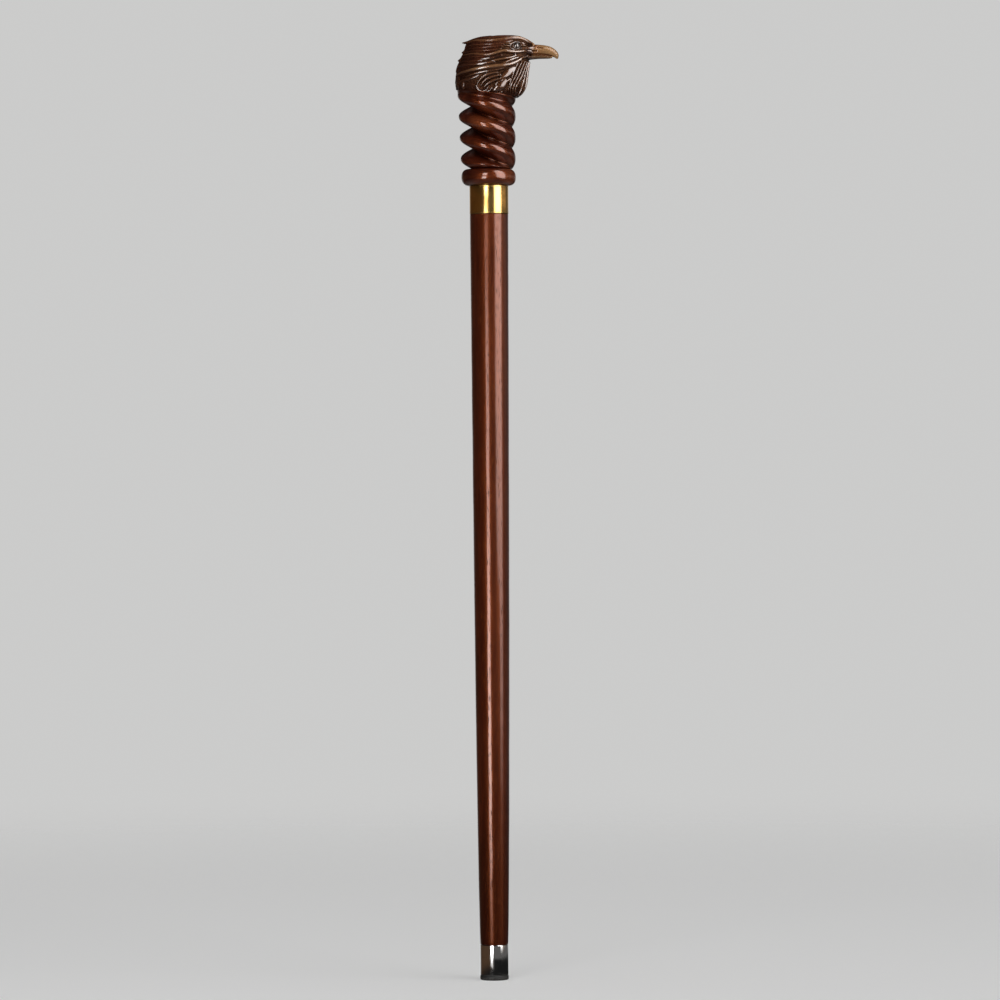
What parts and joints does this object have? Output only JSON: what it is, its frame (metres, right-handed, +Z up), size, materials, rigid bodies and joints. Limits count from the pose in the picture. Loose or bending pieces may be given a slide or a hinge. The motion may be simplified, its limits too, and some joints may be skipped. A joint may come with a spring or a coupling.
{
  "type": "walking cane",
  "caption": "Straight walking cane with a carved eagle's head handle, rope-twist wooden grip, brass collar, tapered shaft and rubber-tipped metal ferrule.",
  "frame": {"origin": "centre of the rubber foot's flat bottom face, on the floor", "axes": "+Z up along the shaft to the carved head, +X the way the beak points, +Y to the head's left side"},
  "size_m": [0.1016, 0.057, 0.9143],
  "materials": {
    "rubber": "matte moulded rubber",
    "plated_steel": "zinc plated",
    "chrome": "polished",
    "shaft_wood": "stained and varnished hardwood",
    "brass": "polished",
    "insert_brass": "machined",
    "grip_wood": "red stain under gloss varnish",
    "carved_wood": "dark stain with rubbed tan ridges under varnish"
  },
  "bodies": {
    "root": {"rubber_tip": "rubber", "tip_disc": "plated_steel", "ferrule": "chrome", "shaft": "shaft_wood", "brass_collar": "brass", "shaft_insert": "insert_brass", "handle_stud": "plated_steel", "twist_grip": "grip_wood", "head_insert": "insert_brass", "eagle_head": "carved_wood"}
  },
  "joints": []
}
